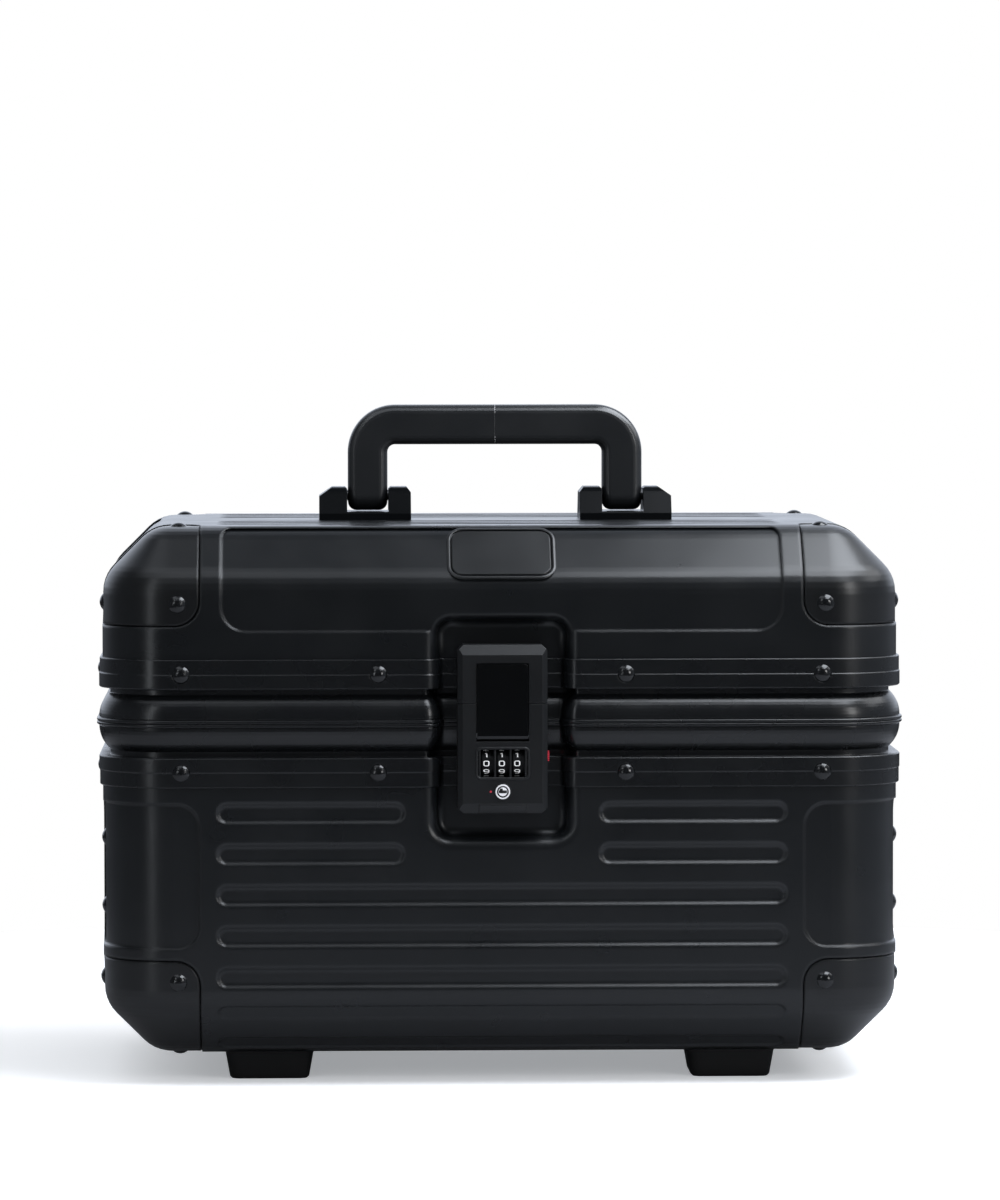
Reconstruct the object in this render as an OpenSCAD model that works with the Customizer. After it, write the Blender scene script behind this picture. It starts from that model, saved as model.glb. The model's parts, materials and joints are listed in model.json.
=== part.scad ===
// Hard shell makeup train case: two pressed half shells in aluminium frames, joined by
// two rear hinges, with a combination lock, a folding handle, corner caps and feet.
// X is the width, Y the depth with the front at -Y, Z is up from the floor.

/* [Case] */
// Width of the shells
case_w = 360; // [340:1:380]
// Depth of the shells
case_d = 220; // [200:1:250]
// Height of the body shell, from its underside to the parting plane
body_h = 151; // [146:1:175]
// Height of the lid shell, from the parting plane to its top
lid_h = 88; // [84:1:110]
// Thickness of the shells
wall = 2.5; // [2.2:0.1:3.5]
// Radius of the upright corners in plan
corner_r = 32; // [31:1:40]
// Width of the sloped edge round the top and the bottom
edge_leg = 23; // [20:1:23]
// Radius of the blends beside the sloped edge
edge_r = 18; // [12:0.5:18]

/* [Frames] */
// Height of the grooved trim band that grips the shell
trim_h = 13.6; // [12:0.1:16]
// How far trim and bead stand proud of the shell
trim_proud = 1.6; // [1.2:0.1:2.2]
// Height of the rounded bead, from the parting plane
bead_h = 12.8; // [11:0.1:14]
// Height of the dark neck between bead and trim
neck_h = 2.5; // [2:0.1:4]
// Depth of the neck below the trim face
neck_in = 5; // [4:0.1:5.4]
// How far the closing lip stands proud of the bead
lip_proud = 1; // [0.6:0.1:1.4]
// Thickness of the closing lip on each frame
lip_h = 1.6; // [1.2:0.1:2]
// Thickness of the frame behind the neck
web = 2.2; // [1.8:0.1:2.6]

/* [Lock pocket] */
// Width of the pressed pocket
pocket_w = 70; // [66:1:80]
// Height of the pocket below the parting plane
pocket_down = 57; // [52:1:60]
// Height of the pocket above the parting plane
pocket_up = 52; // [46:1:54]
// Depth of the pocket
pocket_depth = 9.2; // [9:0.1:10]
// Radius of the pocket corners
pocket_r = 12.5; // [11:0.5:16]

/* [Pressed shapes] */
// Depth of the body grooves
groove_deep = 1.3; // [0.8:0.1:1.4]
// Width of the body grooves
groove_w = 10.8; // [8:0.1:12]
// Spacing of the body grooves
groove_pitch = 18.5; // [17:0.1:20]
// Half length of the body grooves
groove_half = 129; // [120:1:134]
// Half width of the panel on the lid front
panel_half = 126; // [116:1:130]
// Height of the lower edge of that panel above the parting plane
panel_up = 41.4; // [38:0.2:46]
// Height of the corner recesses
recess_h = 65; // [50:1:68]
// Height of the middle of the corner recesses below the parting plane
recess_down = 68.7; // [66:0.1:74]
// Distance that the corner recesses reach in from each side
recess_in = 44; // [40:1:48]

/* [Corner caps and feet] */
// Width of the caps on each face
cap_w = 44; // [40:1:48]
// Height of the lid caps
cap_lid_h = 44; // [42:1:48]
// Height of the body caps
cap_body_h = 44; // [42:1:46]
// Corner radius of the caps
cap_r = 11; // [8:0.5:14]
// Thickness of the caps
cap_t = 1.2; // [0.8:0.1:1.4]
// Depth of a cap face below the shell round it
cap_sunk = 0.5; // [0.2:0.1:0.6]
// Height of the feet
foot_h = 13; // [8:0.5:20]
// Size of the feet where they meet the body
foot_w = 40.5; // [34:0.5:48]
// Distance between the left and right feet
foot_span_x = 210; // [190:1:230]
// Distance between the front and rear feet
foot_span_y = 116; // [100:1:130]

/* [Rivets] */
// Diameter of a rivet head
rivet_d = 7.8; // [6:0.1:9]
// Height of a rivet head
rivet_t = 1.8; // [1:0.1:2.4]
// Diameter of a rivet shank
shank_d = 3.2; // [2.4:0.1:4]

/* [Handle] */
// Width over the handle legs
handle_w = 136.6; // [124:0.2:146]
// Height of the handle top above its pivot
handle_rise = 42; // [40:0.5:52]
// Width of the handle section, seen from the front
grip_w = 18.4; // [16:0.2:20]
// Depth of the handle section from front to back
grip_d = 14; // [12:0.5:14.5]
// Inner corner radius of the handle
grip_bend = 3.5; // [3:0.5:6]
// Width of a bracket
bracket_w = 42.5; // [41:0.5:48]
// Height of a bracket
bracket_h = 15.2; // [14.8:0.2:18]
// Depth of a bracket from front to back
bracket_d = 30; // [26:0.5:36]
// Diameter of the handle pins
handle_pin_d = 5; // [4:0.1:6]

/* [Lock] */
// Width of the lock housing
lock_w = 40.3; // [38:0.1:46]
// Front face of the lock, in front of the shell face
lock_proud = 8.2; // [7:0.1:8.6]
// Height of the seam between catch and housing, above the parting plane
seam_up = 9.1; // [7:0.1:10]
// Height of the lock housing below the seam
housing_h = 49.2; // [48.6:0.1:56]
// Height of the catch above the seam
catch_h = 26.5; // [26.4:0.1:30]
// Width of the latch lever
lever_w = 23; // [20:0.1:25]
// Height of the latch lever
lever_h = 34.5; // [32:0.1:35]
// Radius of the combination wheels
dial_r = 6.3; // [5.8:0.1:6.5]
// Spacing of the combination wheels
dial_pitch = 6.9; // [6.6:0.1:7]
// Diameter of the key cylinder
key_d = 6.6; // [5:0.1:7.5]
// Gap between pieces that move past each other
play = 0.3; // [0.25:0.05:0.4]
// Radial running clearance of pins and cylinders
fit = 0.05; // [0.03:0.01:0.1]

/* [Hinges] */
// Distance between the two hinges
hinge_span = 190; // [150:1:230]
// Width of a hinge
hinge_w = 48; // [40:1:60]
// Thickness of the hinge leaves
leaf_t = 1.5; // [1.2:0.1:1.8]
// Radius of the hinge barrel
barrel_r = 3; // [2.7:0.1:3.2]
// Diameter of the hinge pins
hinge_pin_d = 3; // [2.5:0.1:3.4]

/* [Interior] */
// Thickness of the padded linings
lining_t = 3; // [2:0.5:5]
// Width of the mirror inside the lid
mirror_w = 210; // [150:5:230]
// Depth of the mirror inside the lid
mirror_d = 110; // [80:5:130]

/* [Hidden] */

// curve steps for a quarter turn of a profile
steps = 8;
fine = 64;
side = [-1, 1];
black = [0.09, 0.10, 0.11];
soft_black = [0.05, 0.05, 0.055];
steel = [0.72, 0.73, 0.75];
cloth = [0.16, 0.16, 0.18];

half_w = case_w / 2;
half_d = case_d / 2;
part_z = foot_h + body_h;
top_z = part_z + lid_h;
// distances from the parting plane to the near and far edges of the trim
trim_near = bead_h + neck_h;
trim_far = trim_near + trim_h;
// offsets outward from the shell face
lip_out = trim_proud + lip_proud;
neck_out = trim_proud - neck_in;
inner_out = neck_out - web;
slot_gap = 0.05;
// the shell ends this far above the far edge of the trim, inside the frame slot
slot_deep = trim_h - 2;
shell_edge = trim_far - slot_deep + slot_gap;
mitre = 2 - sqrt(2);
// the two bends of the pocket wall
bend_out = -inner_out + 0.3;
bend_in = pocket_depth - bend_out;
seal_w = 2;

// ---------- profile lines: [inset from the rim, height] ----------

function arc(cx, cy, r, from, to, n = steps) =
    [for (i = [0:n]) let (a = from + (to - from) * i / n) [cx + r * cos(a), cy + r * sin(a)]];

// sloped edge from the flat face up to the side wall, moved inward by off
function edge_line(off) = let (
        leg = edge_leg - mitre * off,
        r = edge_r - off,
        t = r * tan(22.5))
    concat(
        [for (p = arc(leg + t, r, r, -90, -135, 5)) [off + p[0], off + p[1]]],
        [for (p = arc(r, leg + t, r, -135, -180, 5)) [off + p[0], off + p[1]]]);

// wall of the pocket from the face down to its floor, for the surface moved inward by off
function pocket_line(off) = concat(
    [[0, -6], [0, off]],
    [for (i = [1:steps]) let (a = 90 * i / steps)
        [(bend_out - off) * sin(a), bend_out - (bend_out - off) * cos(a)]],
    [for (i = [1:steps]) let (a = 90 * i / steps)
        [pocket_depth - (bend_in + off) * cos(a), bend_out + (bend_in + off) * sin(a)]]);

// ---------- solids made from a profile line ----------

// rounded rectangle block whose edge follows a line of [inset, height] points
module soft_block(hx, hy, r, line) {
    first = line[0][1];
    last = line[len(line) - 1][1];
    if (hy > r)
        rotate([90, 0, 0])
            linear_extrude(2 * (hy - r), center = true)
                polygon(concat([for (p = line) [hx - p[0], p[1]]],
                    [for (i = [len(line) - 1:-1:0]) [line[i][0] - hx, line[i][1]]]));
    if (hx > r)
        rotate([90, 0, 90])
            linear_extrude(2 * (hx - r), center = true)
                polygon(concat([for (p = line) [hy - p[0], p[1]]],
                    [for (i = [len(line) - 1:-1:0]) [line[i][0] - hy, line[i][1]]]));
    for (i = [0:3])
        translate([(hx - r) * [1, -1, -1, 1][i], (hy - r) * [1, 1, -1, -1][i], 0])
            rotate(90 * i)
                rotate_extrude(angle = 90, $fn = fine)
                    polygon(concat([[0, first]], [for (p = line) [r - p[0], p[1]]], [[0, last]]));
}

// closed half shell form, standing on z = 0 with its open side at height h
module half_form(off, h) {
    soft_block(half_w, half_d, corner_r, concat(edge_line(off), [[off, h]]));
}

// block that fills the lock pocket of a half form whose parting plane is at height h
module pocket_block(off, h, reach) {
    translate([0, -half_d, h + 40])
        rotate([-90, 0, 0])
            soft_block(pocket_w / 2, reach + 40, pocket_r, pocket_line(off));
}

// layer of the form's outside between two depths
module skin(from, to, h) {
    difference() {
        half_form(from, h);
        half_form(to, h + 1);
    }
}

// upright slab with a rounded lower corner that reaches past the form's corner
module corner_slab(hx, w, h, r, deep) {
    rotate([90, 0, 0])
        linear_extrude(2 * deep, center = true)
            polygon(concat(arc(hx - w + r, h - r, r, 180, 90), [[hx + 9, h], [hx + 9, -9]],
                [[hx - w, -9]]));
}

// region of a corner cap on the form, at the +X +Y corner
module cap_region(w, h, r) {
    intersection() {
        corner_slab(half_w, w, h, r, half_d + 9);
        rotate(90)
            corner_slab(half_d, w, h, r, half_w + 9);
        translate([half_w - w, half_d - w, -9])
            linear_extrude(h + 18)
                polygon(concat(arc(r, r, r, 180, 270), [[w + 9, 0], [w + 9, w + 9], [0, w + 9]]));
    }
}

// places a shape made for the +X +Y corner at another corner
module at_corner(sx, sy) {
    mirror([sx < 0 ? 1 : 0, 0, 0])
        mirror([0, sy < 0 ? 1 : 0, 0])
            children();
}

// turns a form that stands on z = 0 into the lid
module as_lid() {
    translate([0, 0, top_z])
        mirror([0, 0, 1])
            children();
}

module as_body() {
    translate([0, 0, foot_h])
        children();
}

// ---------- frames ----------

// cross section of a frame: [outward, away from the parting plane]
bead_top = lip_h + 0.4;
bead_r = (pow(bead_h - bead_top, 2) + pow(neck_in, 2)) / (2 * neck_in);
bead_sweep = asin((bead_h - bead_top) / bead_r);
frame_line = concat(
    [[inner_out, 0], [lip_out - 0.4, 0], [lip_out, 0.4], [lip_out, lip_h - 0.4]],
    [[lip_out - 0.4, lip_h], [trim_proud - 0.3, lip_h]],
    arc(trim_proud - bead_r, bead_top, bead_r, 0, bead_sweep),
    [[neck_out, trim_near], [trim_proud - 0.5, trim_near], [trim_proud, trim_near + 0.5]],
    [[trim_proud, trim_near + trim_h / 2 - 0.3], [trim_proud - 0.3, trim_near + trim_h / 2]],
    [[trim_proud - 0.3, trim_far - 0.4], [trim_proud - 0.7, trim_far]],
    [[slot_gap, trim_far], [slot_gap, trim_far - slot_deep]],
    [[-wall - slot_gap, trim_far - slot_deep], [-wall - slot_gap, trim_far]],
    [[inner_out, trim_far]]);
// groove that holds the closing seal
seal_out = inner_out + 1.6;
seal_line = [[seal_out, -1], [seal_out + seal_w, -1], [seal_out + seal_w, 2.6], [seal_out, 2.6]];

// ring along the shell outline, with the jog through the lock pocket
module frame_ring(line) {
    hx = pocket_w / 2;
    run = half_w - corner_r - hx;
    for (sx = side) {
        // plain sides
        translate([sx * half_w, 0, 0])
            mirror([sx < 0 ? 1 : 0, 0, 0])
                rotate([90, 0, 0])
                    linear_extrude(case_d - 2 * corner_r, center = true)
                        polygon(line);
        // front runs beside the pocket
        translate([sx * (hx + run / 2), -half_d, 0])
            straight_run(run, line);
        // pocket wall: an outward bend and an inward bend
        translate([sx * hx, bend_out - half_d, 0])
            mirror([sx < 0 ? 1 : 0, 0, 0])
                rotate(180)
                    rotate_extrude(angle = 90, $fn = fine)
                        polygon([for (p = line) [bend_out + p[0], p[1]]]);
        translate([sx * (hx - pocket_depth), bend_out - half_d, 0])
            mirror([sx < 0 ? 1 : 0, 0, 0])
                rotate_extrude(angle = 90, $fn = fine)
                    polygon([for (p = line) [bend_in - p[0], p[1]]]);
    }
    // pocket floor
    translate([0, pocket_depth - half_d, 0])
        straight_run(2 * (hx - pocket_depth), line);
    // back
    translate([0, half_d, 0])
        rotate(180)
            straight_run(2 * (half_w - corner_r), line);
    // corners
    for (i = [0:3])
        translate([(half_w - corner_r) * [1, -1, -1, 1][i],
                (half_d - corner_r) * [1, 1, -1, -1][i], 0])
            rotate(90 * i)
                rotate_extrude(angle = 90, $fn = fine)
                    polygon([for (p = line) [corner_r + p[0], p[1]]]);
}

// straight frame length along X that faces -Y
module straight_run(length, line) {
    rotate([90, 0, -90])
        linear_extrude(length, center = true)
            polygon(line);
}

// centres and directions of the rivets on a frame trim, as [x, y, turn]
frame_rivet_x = [half_w - corner_r - 4, pocket_w / 2 + 20.6];
frame_rivet_y = (half_d - corner_r) * 0.62;
frame_rivet_places = concat(
    [for (x = frame_rivet_x) for (s = side) [s * x, -half_d, 0]],
    [for (s = side) [s * frame_rivet_x[0], half_d, 180]],
    [for (s = side) [s * 20, half_d, 180]],
    [for (s = side) for (t = side) [s * half_w, t * frame_rivet_y, s * 90]]);

// domed rivet head on a shank; the head sits on z = 0 and faces +Z
module rivet(grip, d = rivet_d) {
    ball = (pow(d / 2, 2) + pow(rivet_t, 2)) / (2 * rivet_t);
    rotate_extrude($fn = 32)
        polygon(concat([[0, -grip], [shank_d / 2, -grip], [shank_d / 2, 0]],
            [for (p = arc(0, rivet_t - ball, ball, 90 - asin(d / 2 / ball), 90, 6)) p]));
}

module frame_rivets() {
    for (p = frame_rivet_places)
        translate([p[0], p[1], part_z])
            rotate(p[2])
                translate([0, -trim_proud + 0.3, trim_near + trim_h / 2])
                    rotate([90, 0, 0])
                        rivet(trim_proud - 0.3 - slot_gap);
}

module frame_rivet_holes() {
    for (p = frame_rivet_places)
        translate([p[0], p[1], 0])
            rotate(p[2])
                translate([0, -slot_gap / 2, trim_near + trim_h / 2])
                    rotate([90, 0, 0])
                        cylinder(d = shank_d, h = 2 * trim_proud, $fn = 32);
}

module frame() {
    difference() {
        frame_ring(frame_line);
        frame_rivet_holes();
        // flats under the rivet heads, so that they seat on the trim's lower step
        for (p = frame_rivet_places)
            translate([p[0], p[1], 0])
                rotate(p[2])
                    translate([0, 0.3 - trim_proud, trim_near + trim_h / 2])
                        rotate([90, 0, 0])
                            cylinder(d = rivet_d + 2 * slot_gap, h = 2, $fn = 32);
    }
}

// ---------- shells, caps and feet ----------

cap_gap = 0.6;
cap_floor = cap_sunk + cap_t;
cap_rivet_in = 9.5;
panel_deep = 0.9;
panel_top = 1.2;
panel_r = 4;
top_groove_y = 26;
screw_d = 4;

// half of the angle through which the wall of a pressed groove turns
press_turn = 50;
// angles on the sloped edge at which the two lowest grooves lie
slope_rows = [35, 47];
groove_first = 40.4;
short_inner = 43;
recess_deep = 1.2;
recess_r = 10;
recess_rivet_up = 15.5;

// soft wall of a pressed shape, from the face down to its floor
function press_line(deep) = let (
        r = deep / 2 / (1 - cos(press_turn)),
        w = 2 * r * sin(press_turn))
    concat([[0, -1], [0, 0]],
        [for (i = [1:3]) let (a = press_turn * i / 3) [r * sin(a), r * (1 - cos(a))]],
        [for (i = [2:-1:0]) let (a = press_turn * i / 3) [w - r * sin(a), deep - r * (1 - cos(a))]]);

// groove along X between two ends, pressed towards +Z
module groove(from, to) {
    translate([(from + to) / 2, 0, 0])
        soft_block((to - from) / 2, groove_w / 2, groove_w / 2, press_line(groove_deep));
}

// turns a groove onto the -Y side of the body form, at an angle on its sloped edge
module on_slope(a) {
    reach = edge_leg + edge_r * tan(22.5);
    centre = a > 45 ? [reach, edge_r] : [edge_r, reach];
    translate([0, centre[0] - edge_r * cos(a) - half_d, centre[1] - edge_r * sin(a)])
        rotate([a - 90, 0, 0])
            children();
}

// grooves of one side of the body; the rows beside the lock pocket are split
module side_grooves(half, inner) {
    for (i = [0:4])
        translate([0, -half_d, body_h - groove_first - i * groove_pitch])
            rotate([-90, 0, 0])
                if (i < 2 && inner > 0)
                    for (s = side)
                        groove(min(s * inner, s * half), max(s * inner, s * half));
                else
                    groove(-half, half);
    for (a = slope_rows)
        on_slope(a)
            groove(-half, half);
}

// pressed recess round an upright corner of the body, at +X +Y
module corner_recess() {
    mid = body_h - recess_down;
    difference() {
        intersection() {
            recess_slab(half_w, mid, half_d + 9);
            rotate(90)
                recess_slab(half_d, mid, half_w + 9);
        }
        half_form(recess_deep, body_h);
    }
}

module recess_slab(hx, mid, deep) {
    x = hx - recess_in + recess_r;
    z = recess_h / 2 - recess_r;
    rotate([90, 0, 0])
        linear_extrude(2 * deep, center = true)
            polygon(concat([[hx + 9, mid + recess_h / 2]], arc(x, mid + z, recess_r, 90, 180),
                arc(x, mid - z, recess_r, 180, 270), [[hx + 9, mid - recess_h / 2]]));
}

module cap_recess(h) {
    difference() {
        cap_region(cap_w + cap_gap, h + cap_gap, cap_r + cap_gap);
        half_form(cap_floor, h + 30);
    }
}

module half_shell(h, reach, cap_h) {
    difference() {
        half_form(0, h - shell_edge);
        difference() {
            half_form(wall, h);
            pocket_block(wall, h, reach);
        }
        pocket_block(0, h, reach);
        for (sx = side)
            for (sy = side)
                at_corner(sx, sy)
                    cap_recess(cap_h);
        // holes for the lock rivets
        for (sx = side)
            translate([sx * lock_rivet_x, -half_d, h - lock_rivet_off])
                rotate([-90, 0, 0])
                    cylinder(d = shank_d, h = pocket_depth + 2 * wall, $fn = 32);
    }
}

module body_shell() {
    color(black)
        as_body()
            difference() {
                half_shell(body_h, pocket_down, cap_body_h);
                side_grooves(groove_half, short_inner);
                rotate(180)
                    side_grooves(groove_half, 0);
                for (s = side)
                    rotate(90 * s)
                        translate([0, half_d - half_w, 0])
                            side_grooves(half_d - recess_in - 7, 0);
                for (sx = side)
                    for (sy = side)
                        at_corner(sx, sy) {
                            corner_recess();
                            for (z = recess_rivet_z)
                                translate([half_w - wall - 1, half_d - cap_w + cap_rivet_in, z])
                                    rotate([0, 90, 0])
                                        cylinder(d = shank_d, h = wall + 2, $fn = 32);
                        }
                for (p = foot_places)
                    translate([p[0], p[1], -1])
                        cylinder(d = screw_d, h = wall + 2, $fn = 32);
            }
}

module lid_shell() {
    color(black)
        as_lid()
            difference() {
                half_shell(lid_h, pocket_up, cap_lid_h);
                // pressed panels over the slopes
                difference() {
                    for (a = [0, 180])
                        rotate(a)
                            panel_region(panel_half, half_d);
                    half_form(panel_deep, lid_h);
                }
                difference() {
                    for (a = [90, 270])
                        rotate(a)
                            panel_region(half_d - cap_w - 10, half_w);
                    half_form(panel_deep, lid_h);
                }
                // grooves along the flat top
                for (s = side)
                    for (i = [0:2])
                        translate([0, s * (top_groove_y + i * groove_pitch), 0])
                            groove(-groove_half, groove_half);
                // flat seat of the nameplate
                at_plate()
                    soft_block(plate_w / 2 + plate_gap, plate_h / 2 + plate_gap, plate_r + plate_gap,
                        [[0, -3], [0, plate_sunk]]);
                for (p = bracket_screw_places)
                    translate([p[0], p[1], -1])
                        cylinder(d = screw_d, h = wall + 2, $fn = 32);
            }
}

// outline of a lid panel on the -Y side, from the upper edge of the slope downward
module panel_region(half, reach) {
    low = lid_h - panel_up - cap_r;
    translate([0, edge_leg / 2 - reach, 0])
        rotate([90, 0, 0])
            linear_extrude(2 * edge_leg, center = true)
                polygon(concat(arc(half - cap_r, low, cap_r, 0, 90),
                    arc(cap_r - half, low, cap_r, 90, 180),
                    arc(panel_r - half, panel_top + panel_r, panel_r, 180, 270),
                    arc(half - panel_r, panel_top + panel_r, panel_r, 270, 360)));
}

module corner_cap(h) {
    difference() {
        intersection() {
            cap_region(cap_w, h, cap_r);
            skin(cap_sunk, cap_floor, h + 20);
        }
        for (p = cap_rivet_places(h))
            translate([p[0], p[1], p[2]])
                rotate(p[3])
                    translate([0, 0, -3])
                        cylinder(d = shank_d, h = 9, $fn = 32);
    }
}

// rivet seats of a cap at the +X +Y corner: [x, y, z, turn]
function cap_rivet_places(h) = let (near = cap_w - cap_rivet_in, up = h - cap_rivet_in) [
    [half_w - near, half_d - cap_sunk, up, [-90, 0, 0]],
    [half_w - cap_sunk, half_d - near, up, [0, 90, 0]],
    [half_w - near, half_d - near, cap_sunk, [180, 0, 0]]];

module cap_rivets(h) {
    for (sx = side)
        for (sy = side)
            at_corner(sx, sy)
                for (p = cap_rivet_places(h))
                    translate([p[0], p[1], p[2]])
                        rotate(p[3])
                            rivet(cap_t);
}

module lid_cap(sx, sy) {
    color(black)
        as_lid()
            at_corner(sx, sy)
                corner_cap(cap_lid_h);
}

module body_cap(sx, sy) {
    color(black)
        as_body()
            at_corner(sx, sy)
                corner_cap(cap_body_h);
}

module lid_cap_rivets() {
    color(black)
        as_lid()
            cap_rivets(cap_lid_h);
}

// heights of the rivets in the corner recesses
recess_rivet_z = [for (s = side) body_h - recess_down + s * recess_rivet_up];

module body_cap_rivets() {
    color(black)
        as_body() {
            cap_rivets(cap_body_h);
            for (sx = side)
                for (sy = side)
                    at_corner(sx, sy)
                        for (z = recess_rivet_z)
                            translate([half_w - recess_deep, half_d - cap_w + cap_rivet_in, z])
                                rotate([0, 90, 0])
                                    rivet(wall - recess_deep);
        }
}

foot_places = [for (sy = side) for (sx = side) [sx * foot_span_x / 2, sy * foot_span_y / 2]];
foot_taper = 2.2;
foot_sink = 6;
screw_head_d = 9;
screw_head_h = 3;

module foot(i) {
    color(soft_black)
        translate([foot_places[i][0], foot_places[i][1], 0])
            difference() {
                soft_block(foot_w / 2, foot_w / 2, 7,
                    [[foot_taper + 1, 0], [foot_taper, 1], [0.4, foot_h - 2], [0, foot_h]]);
                translate([0, 0, -1])
                    cylinder(d = screw_head_d + 1, h = foot_sink + 1, $fn = 48);
                cylinder(d = screw_d, h = foot_h + 1, $fn = 32);
            }
}

module foot_screws() {
    color(steel)
        for (p = foot_places)
            translate([p[0], p[1], foot_sink])
                screw(foot_h - foot_sink + wall);
}

// pan head screw that points up, with its head below z = 0
module screw(length) {
    difference() {
        rotate_extrude($fn = 32)
            polygon([[0, -screw_head_h], [screw_head_d / 2 - 1, -screw_head_h],
                [screw_head_d / 2, 0.8 - screw_head_h], [screw_head_d / 2, 0], [screw_d / 2, 0],
                [screw_d / 2, length - 0.5], [screw_d / 2 - 0.5, length], [0, length]]);
        for (a = [0, 90])
            rotate(a)
                translate([0, 0, -screw_head_h])
                    cube([5, 1, 3], center = true);
    }
}

// ---------- frames ----------

hinge_rivet_x = hinge_w / 3;

module body_frame() {
    color(black)
        translate([0, 0, part_z])
            mirror([0, 0, 1])
                difference() {
                    frame();
                    frame_ring(seal_line);
                }
}

module lid_frame() {
    color(black)
        translate([0, 0, part_z])
            frame();
}

module closing_seal() {
    gap = slot_gap;
    color(soft_black)
        translate([0, 0, part_z])
            mirror([0, 0, 1])
                frame_ring([[seal_out + gap, play], [seal_out + seal_w / 2, play / 2],
                    [seal_out + seal_w - gap, play], [seal_out + seal_w - gap, 2.55],
                    [seal_out + gap, 2.55]]);
}

module lid_frame_rivets() {
    color(black)
        frame_rivets();
}

module body_frame_rivets() {
    color(black)
        translate([0, 0, 2 * part_z])
            mirror([0, 0, 1])
                frame_rivets();
}

// ---------- linings and mirror ----------

lining_out = wall + play;
lining_in = lining_out + lining_t;
cover_gap = 2.2;

// box round the back of the lock pocket
module pocket_cover(h, reach, gap) {
    half = pocket_w / 2 + gap;
    translate([-half, -half_d - 1, h - reach - gap])
        cube([2 * half, 1 + pocket_depth + wall + gap, reach + gap + 9]);
}

module lining(h, reach) {
    difference() {
        difference() {
            half_form(lining_out, h - trim_far - play);
            pocket_cover(h, reach, cover_gap);
        }
        difference() {
            half_form(lining_in, h);
            pocket_cover(h, reach, cover_gap + lining_t);
        }
    }
}

module body_lining() {
    color(cloth)
        as_body()
            lining(body_h, pocket_down);
}

module lid_lining() {
    color(cloth)
        as_lid()
            difference() {
                lining(lid_h, pocket_up);
                for (p = bracket_screw_places)
                    translate([p[0], p[1], 0])
                        cylinder(d = screw_head_d + 1, h = lining_in + 1, $fn = 32);
            }
}

mirror_t = 2.5;
mirror_rim = 6;
mirror_lip = 1.5;

module mirror_frame() {
    hx = mirror_w / 2;
    hy = mirror_d / 2;
    color(soft_black)
        as_lid()
            translate([0, 0, lining_in])
                difference() {
                    soft_block(hx + mirror_rim, hy + mirror_rim, 12,
                        [[0, 0], [0, mirror_t], [mirror_lip, mirror_t + mirror_lip]]);
                    soft_block(hx + slot_gap, hy + slot_gap, 8, [[0, -1], [0, mirror_t + slot_gap]]);
                    soft_block(hx - mirror_lip, hy - mirror_lip, 6.5, [[0, 0], [0, 9]]);
                }
}

module lid_mirror() {
    color("silver")
        as_lid()
            translate([0, 0, lining_in])
                soft_block(mirror_w / 2, mirror_d / 2, 8, [[0, 0], [0, mirror_t]]);
}

// ---------- hinges ----------

hinge_y = half_d + lip_out + barrel_r + play;
leaf_y = half_d + trim_proud - hinge_y;
knuckle = hinge_w / 3;
leaf_far = trim_far - 1;
hinge_places = [for (s = side) s * hinge_span / 2];

// leaf cross section [y, z] from the barrel centre, for the lid
module leaf_section() {
    polygon([[leaf_y, lip_h + 1.6], [leaf_y + 1.1, lip_h + 0.3], [-barrel_r * 0.75, lip_h - 0.4],
        [0, 0], [barrel_r * 0.5, barrel_r * 0.85], [leaf_y + leaf_t, 7.5], [leaf_y, 9]]);
}

module knuckle_web(from, width) {
    translate([from, 0, 0])
        rotate([90, 0, 90])
            linear_extrude(width)
                leaf_section();
    translate([from, 0, 0])
        rotate([0, 90, 0])
            cylinder(r = barrel_r, h = width, $fn = 48);
}

// one leaf about its barrel centre; its knuckles are given as [start, width]
module hinge_leaf(knuckles) {
    difference() {
        union() {
            translate([-hinge_w / 2, leaf_y, 6])
                cube([hinge_w, leaf_t, leaf_far - 6]);
            for (k = knuckles)
                knuckle_web(k[0], k[1]);
        }
        translate([-hinge_w, 0, 0])
            rotate([0, 90, 0])
                cylinder(r = hinge_pin_d / 2 + fit, h = 2 * hinge_w, $fn = 48);
        for (s = side)
            translate([s * hinge_rivet_x, leaf_y - 1, trim_near + trim_h / 2])
                rotate([-90, 0, 0])
                    cylinder(d = shank_d, h = 9, $fn = 32);
    }
}

module at_hinge(i) {
    translate([hinge_places[i], hinge_y, part_z])
        children();
}

module hinge_lid_leaf(i) {
    color(black)
        at_hinge(i)
            hinge_leaf([[-knuckle / 2 + play / 2, knuckle - play]]);
}

module hinge_body_leaf(i) {
    color(black)
        at_hinge(i)
            mirror([0, 0, 1])
                hinge_leaf([[-hinge_w / 2, knuckle - play / 2], [knuckle / 2 + play / 2, knuckle - play / 2]]);
}

module hinge_pins() {
    color(steel)
        for (i = [0, 1])
            at_hinge(i)
                rotate([0, 90, 0])
                    rotate_extrude($fn = 48)
                        polygon([[0, -hinge_w / 2 - 1], [barrel_r - 0.6, -hinge_w / 2 - 1],
                            [barrel_r - 0.6, -hinge_w / 2], [hinge_pin_d / 2, -hinge_w / 2],
                            [hinge_pin_d / 2, hinge_w / 2], [barrel_r - 0.6, hinge_w / 2],
                            [barrel_r - 0.6, hinge_w / 2 + 1], [0, hinge_w / 2 + 1]]);
}

module leaf_rivets() {
    for (x = hinge_places)
        for (s = side)
            translate([x + s * hinge_rivet_x, half_d + trim_proud + leaf_t,
                    trim_near + trim_h / 2])
                rotate([-90, 0, 0])
                    rivet(leaf_t);
}

module hinge_lid_rivets() {
    color(black)
        translate([0, 0, part_z])
            leaf_rivets();
}

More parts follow.
